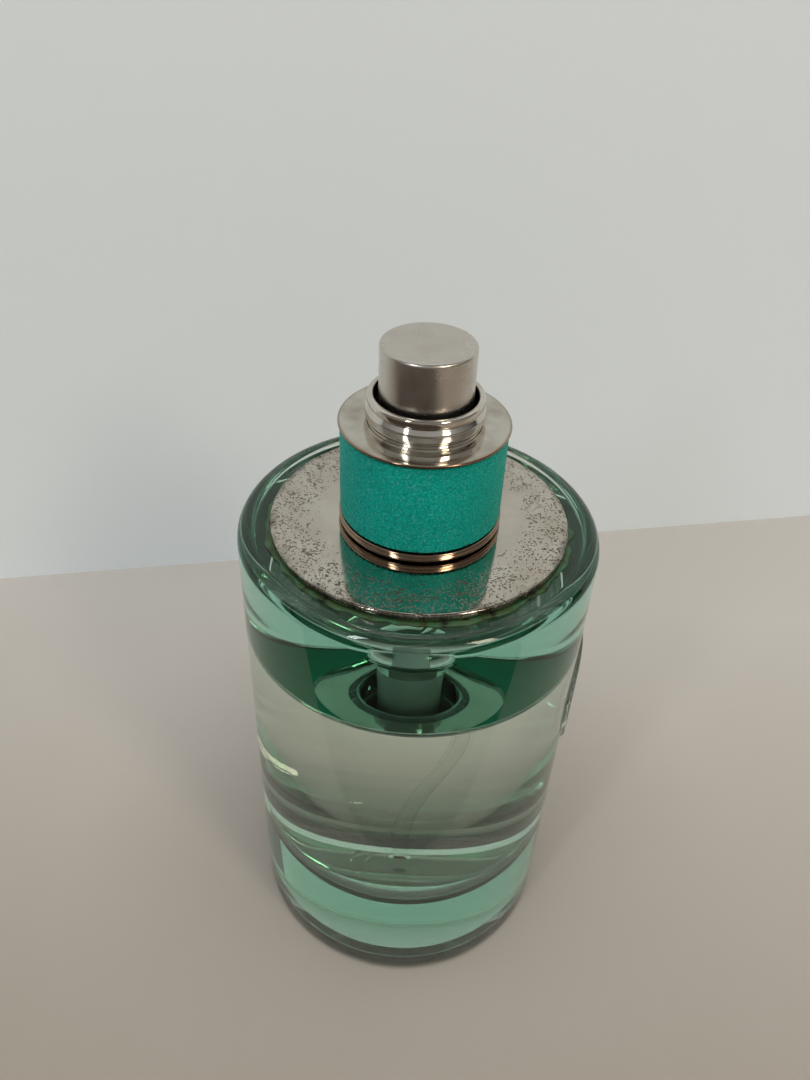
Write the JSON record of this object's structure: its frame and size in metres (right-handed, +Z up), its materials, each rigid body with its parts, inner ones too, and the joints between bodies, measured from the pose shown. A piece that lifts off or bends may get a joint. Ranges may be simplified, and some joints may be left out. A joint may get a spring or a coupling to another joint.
{
  "type": "perfume spray bottle",
  "caption": "Round tinted-glass perfume bottle with a metal shoulder plate, a banded collar, a crimped spray pump and a press-down actuator.",
  "frame": {"origin": "centre of the base, on the surface that the bottle stands on", "axes": "+Z up the bottle's axis to the actuator, +X towards the raised medallion, -Y towards the pictured front"},
  "size_m": [0.0547, 0.054, 0.1128],
  "materials": {
    "tinted_glass": "polished pale teal glass",
    "perfume_liquid": "clear, faintly green liquid",
    "pitted_nickel": "worn nickel plating with tarnish pits",
    "polished_nickel": "polished warm nickel",
    "satin_nickel": "satin warm nickel",
    "bare_aluminium": "bare drawn aluminium",
    "spring_steel": "drawn wire",
    "turquoise_leather": "fine-grained turquoise leathercloth",
    "white_plastic": "moulded, satin",
    "clear_plastic": "translucent, natural",
    "grey_plastic": "moulded, matt",
    "gasket_rubber": "matt"
  },
  "bodies": {
    "bottle": {"glass_bottle": "tinted_glass", "perfume": "perfume_liquid", "shoulder_plate": "pitted_nickel", "outer_collar": "polished_nickel", "collar_band": "turquoise_leather", "step_collar": "polished_nickel", "collar_liner": "grey_plastic", "crimp_ferrule": "bare_aluminium", "neck_gasket": "gasket_rubber", "pump_housing": "clear_plastic", "pump_turret": "white_plastic", "stem_seal": "gasket_rubber", "return_spring": "spring_steel", "dip_tube": "clear_plastic"},
    "plunger": {"pump_stem": "white_plastic", "pump_piston": "clear_plastic", "outlet_poppet": "white_plastic"},
    "actuator": {"actuator_shell": "satin_nickel", "actuator_core": "white_plastic", "nozzle_insert": "white_plastic"},
    "check_ball": {"inlet_ball": "spring_steel"}
  },
  "joints": [
    {"name": "actuator_press", "type": "slide", "parent": "bottle", "child": "plunger", "axis": [0, 0, -1], "range_m": [0, 0.0032], "stiffness_N_per_m": 1500, "springref_m": -0.003, "deforming": ["return_spring"]},
    {"name": "actuator_swivel", "type": "hinge", "parent": "plunger", "child": "actuator", "pos_m": [0, 0, 0.106], "axis": [0, 0, 1], "continuous": true},
    {"name": "inlet_ball_lift", "type": "slide", "parent": "bottle", "child": "check_ball", "axis": [0, 0, 1], "range_m": [0, 0.0008]}
  ]
}
